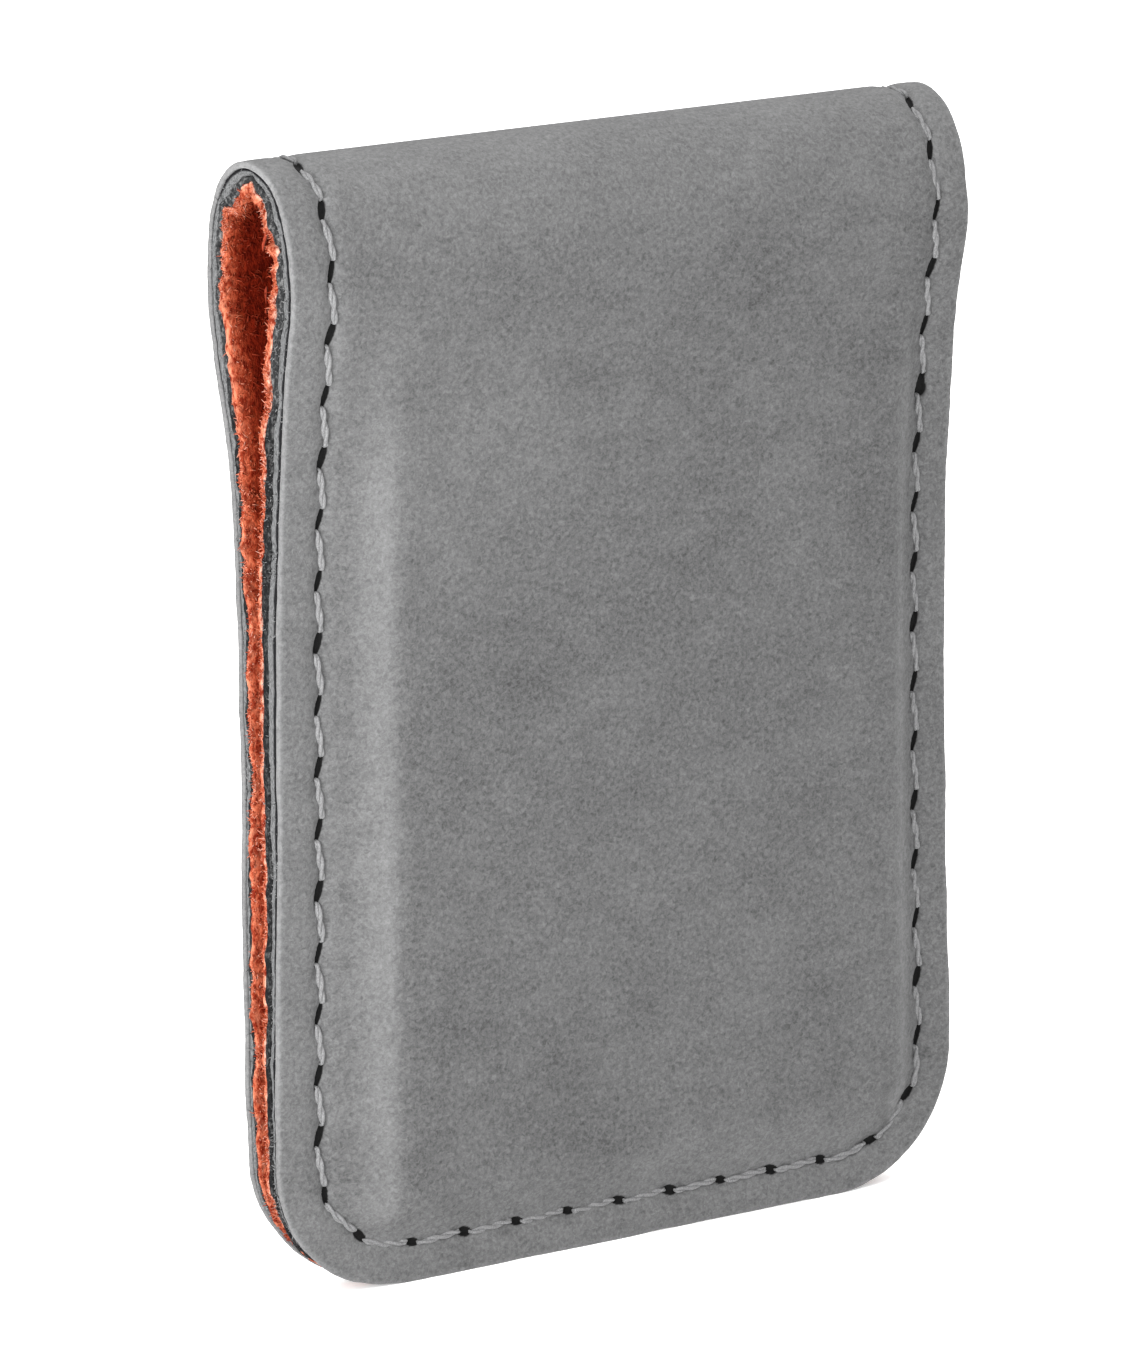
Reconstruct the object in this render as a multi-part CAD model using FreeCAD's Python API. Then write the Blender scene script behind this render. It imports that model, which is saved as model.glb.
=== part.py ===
"""A magnetic money clip: one laminated strip folded over at the top, with a stiffened, magnetic leaf
on each side of the fold. Millimetres, +Z up, standing on its two free ends. X runs across the strip, the
front leaf faces -Y and the back leaf +Y, and the origin is the middle of the free ends.

The strip has four layers. From the outside in they are cover, backing, interlining and lining. Each is made
in three nodes: a front leaf, a back leaf, and the flexible fold between them."""

import FreeCAD
import Part

import math
import os

from FreeCAD import Vector

# Overall size
WIDTH = 44.5
HEIGHT = 63.1
END_CORNER_RADIUS = 7.8

# Half of the closed clip's side view, measured outward from its middle plane to the outer face
FREE_END_HALF = 1.48
LEAF_TOP_HALF = 1.98
LEAF_TOP_Z = 42.2
LOOP_HALF = 4.4
LOOP_WIDEST_Z = 56.5
LOOP_SIDE_RADIUS = 12.6

# Layers: (name, depth of its outer face, depth of its inner face), both below the strip's outer face
COVER = ("cover", 0.0, 0.42)
BACKING = ("backing", 0.42, 0.70)
INTERLINING = ("interlining", 0.70, 0.98)
LINING = ("lining", 0.98, 1.40)
STACK = LINING[2]

# Raised panel on each leaf, and the insert board with two bar magnets that fills it
PANEL_RAISE = 0.9
PANEL_LEFT, PANEL_RIGHT = -14.8, 17.9
PANEL_BOTTOM, PANEL_TOP = 5.0, 42.0
BEVEL_LEFT, BEVEL_RIGHT, BEVEL_BOTTOM, BEVEL_TOP = 4.2, 1.7, 2.0, 4.0
PANEL_CORNER, BEVEL_CORNER = 2.0, 5.0
MAGNET_LENGTH, MAGNET_WIDTH = 20.0, 10.0
MAGNET_BOTTOMS = {"lower": 8.5, "upper": 25.0}
MAGNET_CLEARANCE = 0.1

# Lockstitch seam around the strip's edge
SEAM_LEFT, SEAM_RIGHT, SEAM_END = -19.65, 20.2, 2.2
SEAM_CORNER = END_CORNER_RADIUS - SEAM_END
STITCHES = 94
FIRST_STITCH = 1.3
SLOT_RADIUS = 0.27
SLOT_HALF_SPAN = 0.38
SLOT_EASE = 0.07
SLOT_SLANT = math.radians(-18)
NEEDLE_RADIUS = 0.20
BOBBIN_RADIUS = 0.16
GROOVE_WIDTH = 0.72
NEEDLE_GROOVE, BOBBIN_GROOVE = 0.26, 0.34
LOCK_DEPTH = 0.70
THREAD_GAP = 0.03
FOLD_LIFT = 0.04
LEG_BEND, MIDDLE_BEND = 0.30, 5.0

FRONT, BACK = -1, 1
BIG = 200.0


# ---- side view: lines and tangent arcs in (out, z), out being the distance from the middle plane ----

def unit(a, b):
    length = math.hypot(b[0] - a[0], b[1] - a[1])
    return (b[0] - a[0]) / length, (b[1] - a[1]) / length


def half_profile():
    """The outer face from the free end to the top of the fold: (kind, ...) segments in order."""
    foot, knee = (FREE_END_HALF, 0.0), (LEAF_TOP_HALF, LEAF_TOP_Z)
    rise = unit(foot, knee)
    outward = (rise[1], -rise[0])
    side_centre = (LOOP_HALF - LOOP_SIDE_RADIUS, LOOP_WIDEST_Z)
    reach = (knee[0] - side_centre[0], knee[1] - side_centre[1])
    neck_radius = ((reach[0] ** 2 + reach[1] ** 2 - LOOP_SIDE_RADIUS**2)
                   / (2 * (LOOP_SIDE_RADIUS - reach[0] * outward[0] - reach[1] * outward[1])))
    neck_centre = (knee[0] + neck_radius * outward[0], knee[1] + neck_radius * outward[1])
    turn = math.atan2(neck_centre[1] - side_centre[1], neck_centre[0] - side_centre[0])
    crown_z = HEIGHT - LOOP_HALF
    start = math.atan2(knee[1] - neck_centre[1], knee[0] - neck_centre[0])
    return [
        ("line", foot, knee),
        ("arc", neck_centre, neck_radius, start % (2 * math.pi), turn + math.pi, -1),
        ("arc", side_centre, LOOP_SIDE_RADIUS, turn, 0.0, 1),
        ("line", (LOOP_HALF, LOOP_WIDEST_Z), (LOOP_HALF, crown_z)),
        ("arc", (0.0, crown_z), LOOP_HALF, 0.0, math.pi / 2, 1),
    ]


PROFILE = half_profile()
LEAF_SEGMENTS = 4


def length_of(segment):
    if segment[0] == "line":
        return math.dist(segment[1], segment[2])
    return segment[2] * abs(segment[4] - segment[3])


HALF_LENGTH = sum(length_of(s) for s in PROFILE)
LEAF_LENGTH = sum(length_of(s) for s in PROFILE[:LEAF_SEGMENTS])


def on_segment(segment, share, depth):
    """The point at a share of a segment and a depth below it, with the outward normal there."""
    if segment[0] == "line":
        a, b = segment[1], segment[2]
        rise = unit(a, b)
        normal = (rise[1], -rise[0])
        place = (a[0] + share * (b[0] - a[0]), a[1] + share * (b[1] - a[1]))
    else:
        _, centre, radius, start, end, convex = segment
        angle = start + share * (end - start)
        normal = (convex * math.cos(angle), convex * math.sin(angle))
        place = (centre[0] + radius * math.cos(angle), centre[1] + radius * math.sin(angle))
    return (place[0] - depth * normal[0], place[1] - depth * normal[1]), normal


def on_profile(along, depth):
    """The same, at a distance along the outer face from the free end."""
    for segment in PROFILE:
        length = length_of(segment)
        if along <= length or segment is PROFILE[-1]:
            return on_segment(segment, along / length, depth)
        along -= length
    raise ValueError("the profile has no such place")


def place(side, x, along, depth):
    (out, z), _ = on_profile(along, depth)
    return Vector(x, side * out, z)


def edge(side, segment, depth):
    """One segment of the side view at a depth, as an edge in the plane x = 0."""
    a, b, c = (on_segment(segment, share, depth)[0] for share in (0.0, 0.5, 1.0))
    start, middle, end = (Vector(0, side * p[0], p[1]) for p in (a, b, c))
    if segment[0] == "line":
        return Part.LineSegment(start, end).toShape()
    return Part.Arc(start, middle, end).toShape()


def strip(path, outer, inner):
    """A full-width piece of the strip between two depths. path lists (side, segment)."""
    outside = [edge(side, segment, outer) for side, segment in path]
    inside = [edge(side, segment, inner) for side, segment in path]
    ends = [[on_end(path, end, depth) for depth in (outer, inner)] for end in (0, -1)]
    caps = [Part.LineSegment(a, b).toShape() for a, b in ends]
    wire = Part.Wire(Part.__sortEdges__(outside + inside + caps))
    return Part.Face(wire).extrude(Vector(WIDTH, 0, 0)).translated(Vector(-WIDTH / 2, 0, 0))


def on_end(path, end, depth):
    """Where a path of (side, segment) starts or ends. It climbs the front and comes down the back."""
    side, segment = path[end]
    climbing = side == FRONT
    share = (0.0 if end == 0 else 1.0) if climbing else (1.0 if end == 0 else 0.0)
    out, z = on_segment(segment, share, depth)[0]
    return Vector(0, side * out, z)


def leaf_path(side):
    segments = PROFILE[:LEAF_SEGMENTS]
    return [(side, s) for s in (segments if side == FRONT else segments[::-1])]


def fold_path():
    segments = PROFILE[LEAF_SEGMENTS:]
    return [(FRONT, s) for s in segments] + [(BACK, s) for s in segments[::-1]]


# ---- plan shapes, in X and Z, cut through the leaves ----

def rounded_prism(left, right, bottom, top, low_radius, high_radius=0.0):
    """A prism along Y through everything, with rounded lower and upper corners."""
    corners = [((left, top), high_radius), ((left, bottom), low_radius),
               ((right, bottom), low_radius), ((right, top), high_radius)]
    wire = rounded_wire([Vector(x, -BIG / 2, z) for (x, z), _ in corners], [r for _, r in corners], True)
    return Part.Face(wire).extrude(Vector(0, BIG, 0))


def rounded_wire(points, radii, closed=False):
    """Straight runs through the points, joined by tangent arcs of the given radii."""
    count = len(points)
    lead, edges = [], []
    for i in range(count):
        if radii[i] == 0 or (not closed and i in (0, count - 1)):
            lead.append((points[i], points[i], None))
            continue
        before = (points[i - 1] - points[i]).normalize()
        after = (points[(i + 1) % count] - points[i]).normalize()
        half = before.getAngle(after) / 2
        back_off = radii[i] / math.tan(half)
        bisector = (before + after).normalize()
        middle = points[i] + bisector * (radii[i] / math.sin(half) - radii[i])
        lead.append((points[i] + before * back_off, points[i] + after * back_off, middle))
    for i in range(count):
        start, end, middle = lead[i]
        if middle is not None:
            edges.append(Part.Arc(start, middle, end).toShape())
        if closed or i < count - 1:
            after = lead[(i + 1) % count][0]
            if end.distanceToPoint(after) > 1e-6:
                edges.append(Part.LineSegment(end, after).toShape())
    return Part.Wire(edges)


def end_outline():
    return rounded_prism(-WIDTH / 2, WIDTH / 2, 0.0, BIG, END_CORNER_RADIUS)


# ---- raised panel and its contents, made flat on the back leaf's line, then tilted to it ----

def tilt_to_leaf(shape, side):
    """Moves a shape from the plane Y = 0 (outer face, outward +Y) onto a leaf's outer face."""
    lean = math.degrees(math.atan2(LEAF_TOP_HALF - FREE_END_HALF, LEAF_TOP_Z))
    moved = shape.copy()
    moved.rotate(Vector(0, 0, 0), Vector(1, 0, 0), -lean)
    moved.translate(Vector(0, FREE_END_HALF, 0))
    if side == FRONT:
        moved = moved.mirror(Vector(0, 0, 0), Vector(0, 1, 0))
    return moved


def flat_block(left, right, bottom, top, inner, outer, corner):
    prism = rounded_prism(left, right, bottom, top, corner, corner)
    slab = Part.makeBox(BIG, outer - inner, BIG, Vector(-BIG / 2, inner, -BIG / 2))
    return prism.common(slab)


def bevelled_block(sink):
    """The raised panel as a block with sloping sides, pushed into the leaf by sink."""
    foot = -COVER[2] / 2

    def ring(y, spread):
        left, right = PANEL_LEFT - spread * BEVEL_LEFT, PANEL_RIGHT + spread * BEVEL_RIGHT
        bottom, top = PANEL_BOTTOM - spread * BEVEL_BOTTOM, PANEL_TOP + spread * BEVEL_TOP
        corners = [(left, top), (left, bottom), (right, bottom), (right, top)]
        radius = PANEL_CORNER + spread * (BEVEL_CORNER - PANEL_CORNER)
        return rounded_wire([Vector(x, y - sink, z) for x, z in corners], [radius] * 4, True)

    return Part.makeLoft([ring(foot, (PANEL_RAISE - foot) / PANEL_RAISE), ring(PANEL_RAISE, 0.0)], True, True)


def magnet_window(bottom, grow):
    middle = (PANEL_LEFT + PANEL_RIGHT) / 2
    return flat_block(middle - MAGNET_LENGTH / 2 - grow, middle + MAGNET_LENGTH / 2 + grow,
                      bottom - grow, bottom + MAGNET_WIDTH + grow,
                      -COVER[2], PANEL_RAISE - COVER[2], 0.5 + grow)


def insert_board():
    board = flat_block(PANEL_LEFT, PANEL_RIGHT, PANEL_BOTTOM, PANEL_TOP,
                       -COVER[2], PANEL_RAISE - COVER[2], PANEL_CORNER)
    for bottom in MAGNET_BOTTOMS.values():
        board = board.cut(magnet_window(bottom, MAGNET_CLEARANCE))
    return board


# ---- seam: a closed path down the front, across its end, up again, over the fold and down the back ----

SIDE_RUN = HALF_LENGTH - SEAM_END - SEAM_CORNER
END_RUN = SEAM_RIGHT - SEAM_LEFT - 2 * SEAM_CORNER
HALF_SEAM = 2 * SIDE_RUN + END_RUN + math.pi * SEAM_CORNER
PITCH = 2 * HALF_SEAM / STITCHES


def on_half_seam(run):
    """(x, along, dx, dalong) at a distance from the top of the fold, down the left and up the right."""
    bend = math.pi / 2 * SEAM_CORNER
    if run < SIDE_RUN:
        return SEAM_LEFT, HALF_LENGTH - run, 0.0, -1.0
    run -= SIDE_RUN
    if run < bend:
        angle = run / SEAM_CORNER
        return (SEAM_LEFT + SEAM_CORNER * (1 - math.cos(angle)),
                SEAM_END + SEAM_CORNER * (1 - math.sin(angle)), math.sin(angle), -math.cos(angle))
    run -= bend
    if run < END_RUN:
        return SEAM_LEFT + SEAM_CORNER + run, SEAM_END, 1.0, 0.0
    run -= END_RUN
    if run < bend:
        angle = run / SEAM_CORNER
        return (SEAM_RIGHT - SEAM_CORNER * (1 - math.sin(angle)),
                SEAM_END + SEAM_CORNER * (1 - math.cos(angle)), math.cos(angle), math.sin(angle))
    return SEAM_RIGHT, SEAM_END + SEAM_CORNER + run - bend, 0.0, 1.0


def on_seam(run):
    """(side, x, along, dx, dalong) on the whole closed seam. The back runs from right to left."""
    run %= 2 * HALF_SEAM
    if run < HALF_SEAM:
        return (FRONT, *on_half_seam(run))
    x, along, dx, dalong = on_half_seam(run - HALF_SEAM)
    return BACK, SEAM_LEFT + SEAM_RIGHT - x, along, -dx, dalong


def slot_end(number, direction):
    """The middle of a slot's rounded end: (side, x, along). Slots slant to the seam, the same way all round
    the strip as seen from outside."""
    side, x, along, dx, dalong = on_seam(FIRST_STITCH + number * PITCH)
    slant = SLOT_SLANT if side == FRONT else -SLOT_SLANT
    turned = (dx * math.cos(slant) - dalong * math.sin(slant),
              dx * math.sin(slant) + dalong * math.cos(slant))
    reach = direction * SLOT_HALF_SPAN
    return side, x + reach * turned[0], along + reach * turned[1]


def slot(number):
    """The awl slot of one stitch: two round holes and the web between them, through every layer."""
    ends = [slot_end(number, direction) for direction in (-1, 1)]
    side, x, along, _, _ = on_seam(FIRST_STITCH + number * PITCH)
    (_, _), normal = on_profile(along, 0.0)
    inward = Vector(0, -side * normal[0], -normal[1])
    start = place(side, x, along, -THREAD_GAP)
    a, b = (place(side, e[1], e[2], 0.0) for e in ends)
    across = (b - a).normalize()
    across = (across - inward * across.dot(inward)).normalize()
    aside = across.cross(inward)
    half, radius, depth = SLOT_HALF_SPAN + SLOT_EASE, SLOT_RADIUS, STACK + 2 * THREAD_GAP
    corners = [start + across * (i * half) + aside * (j * radius)
               for i, j in ((-1, -1), (1, -1), (1, 1), (-1, 1))]
    edges = [Part.LineSegment(corners[0], corners[1]).toShape(),
             Part.Arc(corners[1], start + across * (half + radius), corners[2]).toShape(),
             Part.LineSegment(corners[2], corners[3]).toShape(),
             Part.Arc(corners[3], start - across * (half + radius), corners[0]).toShape()]
    return Part.Face(Part.Wire(edges)).extrude(inward * depth)


def slot_region(number):
    """The part of the strip a slot lies in."""
    side, _, along, _, _ = on_seam(FIRST_STITCH + number * PITCH)
    if along > LEAF_LENGTH:
        return "fold"
    return "front" if side == FRONT else "back"


def stitch_region(number):
    """The leaf that holds both ends of a stitch, or the fold."""
    home, away = slot_region(number), slot_region(number + 1)
    return home if home == away else "fold"


def in_line(a, b, c):
    return (b - a).getAngle(c - b) < 0.02


def thread(leg_a, a, middle, b, leg_b, radius):
    """A round thread through five points with its bends rounded. A middle point in line is left out."""
    if in_line(a, middle, b):
        points, bends = [leg_a, a, b, leg_b], [LEG_BEND] * 4
    else:
        points, bends = [leg_a, a, middle, b, leg_b], [LEG_BEND, LEG_BEND, MIDDLE_BEND, LEG_BEND, LEG_BEND]
    path = rounded_wire(points, bends)
    circle = Part.Wire(Part.Circle(leg_a, (a - leg_a).normalize(), radius).toShape())
    return path.makePipeShell([circle], True, True)


def stitch(number, surface_depth, lift, leg_depth, radius):
    """One stitch from a slot to the next: a leg, the part that shows, lifted in its middle, and a leg."""
    ends = [slot_end(number, 1), slot_end(number + 1, -1)]
    side, x, along, _, _ = on_seam(FIRST_STITCH + (number + 0.5) * PITCH)
    legs = [place(*e, leg_depth) for e in ends]
    a, b = (place(*e, surface_depth) for e in ends)
    return thread(legs[0], a, place(side, x, along, surface_depth - lift), b, legs[1], radius)


def needle_stitch(number):
    return stitch(number, 0.0, FOLD_LIFT, LOCK_DEPTH - THREAD_GAP, NEEDLE_RADIUS)


def bobbin_stitch(number):
    return stitch(number, STACK - BOBBIN_RADIUS, 0.0, LOCK_DEPTH + THREAD_GAP, BOBBIN_RADIUS)


# ---- nodes ----

def groove(path, outer, inner):
    """The channel the stitches lie in, between two depths. In plan it is a racetrack along the seam."""
    half = GROOVE_WIDTH / 2
    left, right = SEAM_LEFT, SEAM_RIGHT
    around = rounded_prism(left - half, right + half, SEAM_END - half, BIG / 2, SEAM_CORNER + half)
    within = rounded_prism(left + half, right - half, SEAM_END + half, BIG, SEAM_CORNER - half)
    return strip(path, outer, inner).common(around.cut(within))


def layer(name, outer, inner, path, slots):
    """One layer of the strip along a path, with its seam slots and rounded ends."""
    shape = strip(path, outer, inner).common(end_outline())
    if name == COVER[0] and len(path) == LEAF_SEGMENTS:
        side = path[0][0]
        shape = shape.fuse(tilt_to_leaf(bevelled_block(0.0), side)).removeSplitter()
        shape = shape.cut(tilt_to_leaf(bevelled_block(COVER[2]), side))
        shape = shape.cut(strip(path, inner, STACK))
    if name == COVER[0]:
        shape = shape.cut(groove(path, outer, outer + NEEDLE_GROOVE))
    if name == LINING[0]:
        shape = shape.cut(groove(path, inner - BOBBIN_GROOVE, inner))
    return shape.cut(slots)


def save(name, *solids):
    shape = Part.makeCompound([s for solid in solids for s in solid.Solids])
    if not shape.isValid() or any(s.Volume <= 0 for s in shape.Solids):
        print("NOT VALID", name)
    shape.exportStep(f"parts/{name}.step")
    print(name, len(shape.Solids), "solids", round(shape.Volume, 2), "mm3")


def main():
    os.makedirs("parts", exist_ok=True)
    paths = {"front": leaf_path(FRONT), "back": leaf_path(BACK), "fold": fold_path()}
    for region, path in paths.items():
        slots = [slot(n) for n in range(STITCHES) if slot_region(n) == region]
        for name, outer, inner in (COVER, BACKING, INTERLINING, LINING):
            save(f"{name}_{region}", layer(name, outer, inner, path, slots))
        stitches = [n for n in range(STITCHES) if stitch_region(n) == region]
        save(f"needle_stitches_{region}", *[needle_stitch(n) for n in stitches])
        save(f"bobbin_stitches_{region}", *[bobbin_stitch(n) for n in stitches])
    for side, region in ((FRONT, "front"), (BACK, "back")):
        save(f"insert_board_{region}", tilt_to_leaf(insert_board(), side))
        for level, bottom in MAGNET_BOTTOMS.items():
            save(f"magnet_{region}_{level}", tilt_to_leaf(magnet_window(bottom, 0.0), side))


main()
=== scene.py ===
import math

import bpy
import numpy as np
from mathutils import Matrix, Vector
from mathutils.geometry import delaunay_2d_cdt


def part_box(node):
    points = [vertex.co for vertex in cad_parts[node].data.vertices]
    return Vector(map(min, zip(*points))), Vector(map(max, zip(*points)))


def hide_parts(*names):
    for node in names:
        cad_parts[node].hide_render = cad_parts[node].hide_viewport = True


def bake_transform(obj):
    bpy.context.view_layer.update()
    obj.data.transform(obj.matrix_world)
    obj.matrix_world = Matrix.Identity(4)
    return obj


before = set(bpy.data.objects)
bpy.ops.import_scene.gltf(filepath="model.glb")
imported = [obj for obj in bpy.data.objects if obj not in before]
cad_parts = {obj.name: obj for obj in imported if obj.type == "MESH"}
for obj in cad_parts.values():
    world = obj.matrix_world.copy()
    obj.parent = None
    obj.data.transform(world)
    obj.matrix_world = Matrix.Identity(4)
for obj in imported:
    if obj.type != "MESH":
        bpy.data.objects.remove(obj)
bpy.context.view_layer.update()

# The strip is made flat first, as (x, s, h): x across it, s along it from the middle of the fold with the
# front leaf at positive s, and h the height over its outer face. Then it is folded to the CAD side view.

MM = 0.001

# The folded side view
FOLD_LOW, FOLD_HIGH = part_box("cover_fold")
WIDTH = FOLD_HIGH[0] - FOLD_LOW[0]
HEIGHT = FOLD_HIGH[2]
LOOP_HALF = FOLD_HIGH[1]
CROWN_Z = FOLD_LOW[2]
FREE_END_HALF = 1.48 * MM
LEAF_TOP_HALF, LEAF_TOP_Z = 2.03 * MM, 36 * MM
LOOP_SIDE_RADIUS, LOOP_WIDEST_Z = 12.6 * MM, 56.5 * MM
CORNER_RADIUS = 7.8 * MM

# The open loop begins this far from the free ends, and is fully there a little further on
LOOP_START, LOOP_EASE = 44 * MM, 8 * MM

# Depths of the layers under the outer face at the stitched free ends
COVER = (0.0, 0.42 * MM)
BACKING = (0.43 * MM, 0.76 * MM)
INTERLINING = (0.78 * MM, 1.10 * MM)
LINING = (1.11 * MM, 1.40 * MM)

# How many times thicker the two felts lie along each leaf, from the free end to the top of the fold
LOOSE_AT = np.array([0, 10, 27, 42, 47, 50.5, 55, 59, 61, 62.5, 64]) * MM
FRONT_LOOSENESS = [0.95, 1.15, 2.1, 2.4, 2.3, 2.2, 2.2, 2.0, 2.2, 1.9, 1.4]
BACK_LOOSENESS = [0.95, 0.95, 0.9, 0.95, 1.1, 1.5, 1.1, 1.3, 1.1, 2.5, 2.0]
CROWN_LOOSENESS = 1.0
UNEVENNESS = 0.6

# The felts loosen, and the linings leave the middle plane, over this first stretch from the free ends
END_EASE = 20 * MM

# The napped lining stands thicker by this share round the open loop, where nothing presses it
LOOP_LOFT = 1.0

# The two linings meet a little behind the middle plane, because the front leaf's layers are the looser ones,
# and each keeps a small gap from there
MEETING, LINING_GAP = 0.12 * MM, 0.02 * MM

# The cut side edges wander a little: out near the free ends, and in at the neck under the loop. Only the
# strip's borders move.
BORDER = 8 * MM
DRIFT_AT = np.array([2, 12, 20, 28, 40, 47, 52, 57, 62]) * MM
LEFT_DRIFT = np.array([0.55, 0.40, 0.20, 0.0, -0.14, -0.10, 0.05, 0.0, 0.0]) * MM
RIGHT_DRIFT = np.array([0.35, 0.28, 0.05, 0.0, 0.0, -0.06, -0.14, 0.08, 0.0]) * MM

# The back leaf lies a little to the left of the front one, but to the right of it at its free end
BACK_SHIFT = np.array([-0.25, 0.10, 0.18, 0.18, 0.16, 0.02, 0.0, 0.0, 0.0]) * MM

# The top of the fold is pinched a little and stands higher at its left end
PINCH, PINCH_EASE = 0.10, 4.5 * MM
FOLD_TILT, TILT_START, TILT_EASE = 0.2 * MM, 45 * MM, 15 * MM

# The raised panel over each insert board, and the slopes round it
BOARD_LOW, BOARD_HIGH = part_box("insert_board_front")
PANEL_LEFT, PANEL_RIGHT = BOARD_LOW[0], BOARD_HIGH[0]
PANEL_BOTTOM, PANEL_TOP = 5.0 * MM, 42.0 * MM
PANEL_RAISE = 0.9 * MM
BEVEL_LEFT, BEVEL_RIGHT, BEVEL_BOTTOM, BEVEL_TOP = 4.3 * MM, 1.9 * MM, 2.2 * MM, 14.0 * MM

# The rest of the cover's relief: the valley that the seam presses, the soft cut edge and slow waves
VALLEY_DEPTH, VALLEY_REACH = 0.18 * MM, 0.55 * MM
EDGE_DROP, EDGE_REACH = 0.03 * MM, 0.7 * MM
WAVE_HEIGHT, WAVE_SPACING, WAVE_REACH = 0.03 * MM, 7 * MM, 3 * MM

# The seam. Its slots leave only a thin floor of the cover, and the cover puckers round each one, out to about
# twice the slot's size. The slots across the free ends are the shortest.
SEAM_LEFT, SEAM_RIGHT, SEAM_END = -19.65 * MM, 20.2 * MM, 2.2 * MM
SEAM_CORNER = CORNER_RADIUS - SEAM_END
STITCHES, FIRST_STITCH = 94, 1.3 * MM
SLOT_SPAN, SLOT_HALF_WIDTH, SLOT_SLANT = 0.86 * MM, 0.22 * MM, math.radians(-15)
SLOT_FLOOR, PUCKER_DEPTH, PUCKER_REACH = 0.01 * MM, 0.09 * MM, 0.9
END_SLOTS_SHORTER = 0.38

# One slot on the front leaf's right seam is torn a little outwards, most at its lower end
TORN_SLOT, TEAR = 41, 2.0

# A thread is one or two twisted strands, thinner at both ends, where it dives into its slots
THREAD_REACH = 0.66 * MM
STRAND_RADIUS, STRAND_OFFSET, TWIST_PITCH = 0.120 * MM, 0.10 * MM, 2.2 * MM
STRAND_STATIONS, STRAND_SIDES = 25, 8
DIVE_SHARE, DIVE_DEPTH, END_DEPTH = 0.14, 0.28 * MM, 0.18 * MM

# Paler patches: place across and up from the free end, reach both ways, all in mm, and how pale
PALE_PATCHES = [(11.0, 11.0, 9.0, 12.0, 0.24), (-8.7, 48.5, 8.0, 6.0, 0.24), (-14.5, 45.0, 3.5, 4.5, 0.26),
          (1.5, 4.4, 19.0, 1.3, 0.45)]

# How pale the cover is painted: painted light on its left and right margins (more on the left) and along the
# free ends, and a painted highlight at the top of the fold
LEFT_PALE, RIGHT_PALE, END_PALE, CROWN_PALE = 0.36, 0.16, 0.44, 0.95

# How many points go round the cut edge of the cover, and of each layer inside it, and how they waver
COVER_RIM, LAYER_RIM = 1360, 1700
WAVER, WAVER_SPACING = 0.06 * MM, 3 * MM

# How far inside the cut edge the fringe and the nap have their roots
FRINGE_ROOT, NAP_ROOT = 0.13 * MM, 0.1 * MM
FRINGE_LONGEST, NAP_COUNT = 0.4 * MM, 12500

# The viewpoint: how far to the left of the front leaf, above it and tilted, and its long lens
VIEW_LEFT, VIEW_ABOVE, VIEW_TILT = math.radians(34.08), math.radians(12.87), math.radians(-0.93)
VIEW_HEIGHT, VIEW_DISTANCE = 31.5 * MM, 542.7 * MM
SENSOR_HEIGHT, LENS, LENS_SHIFT = 36.0, 261.3, (-0.0246, 0.0063)

# The studio: light from all round, a wide soft light from above and a small lamp near the open left edge
FLOOR_REACH = 4
AMBIENT = 0.40
SKY_SPREAD, SKY_POWER = math.radians(110), 4.8
KEY_FROM, KEY_DISTANCE, KEY_SIZE, KEY_POWER = (-0.89, -0.44, 0.16), 0.150, 0.07, 0.26


# ---- the folded side view ----

def half_profile():
    """The outer face from a free end to the top of the fold, in (out, z): lines and tangent arcs."""
    foot, knee = np.array([FREE_END_HALF, 0.0]), np.array([LEAF_TOP_HALF, LEAF_TOP_Z])
    rise = (knee - foot) / np.linalg.norm(knee - foot)
    outward = np.array([rise[1], -rise[0]])
    side_centre = np.array([LOOP_HALF - LOOP_SIDE_RADIUS, LOOP_WIDEST_Z])
    reach = knee - side_centre
    neck_radius = (reach @ reach - LOOP_SIDE_RADIUS**2) / (2 * (LOOP_SIDE_RADIUS - reach @ outward))
    neck_centre = knee + neck_radius * outward
    turn = math.atan2(*(neck_centre - side_centre)[::-1])
    start = math.atan2(*(knee - neck_centre)[::-1]) % (2 * math.pi)
    return [("line", foot, knee),
            ("arc", neck_centre, neck_radius, start, turn + math.pi, -1),
            ("arc", side_centre, LOOP_SIDE_RADIUS, turn, 0.0, 1),
            ("line", np.array([LOOP_HALF, LOOP_WIDEST_Z]), np.array([LOOP_HALF, CROWN_Z])),
            ("arc", np.array([0.0, CROWN_Z]), LOOP_HALF, 0.0, math.pi / 2, 1)]


def length_of(segment):
    """The length of a line or an arc."""
    if segment[0] == "line":
        return float(np.linalg.norm(segment[2] - segment[1]))
    return segment[2] * abs(segment[4] - segment[3])


PROFILE = half_profile()
HALF_LENGTH = sum(length_of(segment) for segment in PROFILE)
CROWN_RUN = length_of(PROFILE[-1])


def on_segment(segment, run):
    """Points and outward normals at distances along one segment."""
    if segment[0] == "line":
        rise = (segment[2] - segment[1]) / length_of(segment)
        normal = np.tile([rise[1], -rise[0]], (len(run), 1))
        return segment[1] + run[:, None] * rise, normal
    _, centre, radius, start, end, convex = segment
    angle = start + run / radius * np.sign(end - start)
    ray = np.column_stack([np.cos(angle), np.sin(angle)])
    return centre + radius * ray, convex * ray


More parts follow.
